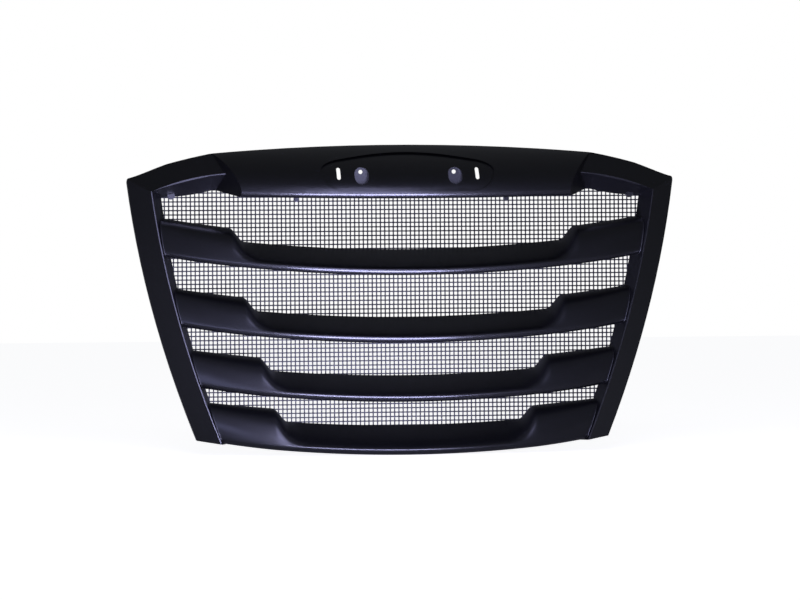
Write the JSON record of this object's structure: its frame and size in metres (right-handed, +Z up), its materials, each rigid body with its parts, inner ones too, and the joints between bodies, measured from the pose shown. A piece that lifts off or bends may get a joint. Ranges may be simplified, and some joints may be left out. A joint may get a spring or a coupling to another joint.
{
  "type": "front grille",
  "caption": "Bowed front grille for a heavy truck: moulded surround with a badge recess, full-width louvers and a bug screen behind them.",
  "frame": {"origin": "centre of the four hood bolts, on the plane where the brackets meet the hood", "axes": "+X to the right seen from the front, -Y to the front, +Z up along the screen"},
  "size_m": [1.4624, 0.215, 0.8204],
  "materials": {
    "satin_black": "satin black",
    "screen_black": "matt black",
    "bar_steel": "black paint",
    "zinc": "zinc plated",
    "bracket_steel": "black e-coat",
    "rubber": "matt"
  },
  "bodies": {
    "root": {"surround": "satin_black", "louver_1": "satin_black", "louver_2": "satin_black", "louver_3": "satin_black", "louver_4": "satin_black", "back_bar_1": "bar_steel", "back_bar_2": "bar_steel", "back_bar_3": "bar_steel", "back_bar_4": "bar_steel", "screen_rim": "screen_black", "screen_uprights": "screen_black", "screen_crossbars": "screen_black", "screen_washers": "zinc", "louver_screws": "zinc", "tab_screws": "zinc", "rim_screws": "zinc", "end_screws_right": "zinc", "end_screws_left": "zinc", "upper_bracket_right": "bracket_steel", "upper_bracket_left": "bracket_steel", "lower_bracket_right": "bracket_steel", "lower_bracket_left": "bracket_steel", "side_bracket_right": "bracket_steel", "side_bracket_left": "bracket_steel", "bracket_screws": "zinc", "bumpers": "rubber", "hood_seal": "rubber"}
  },
  "joints": []
}
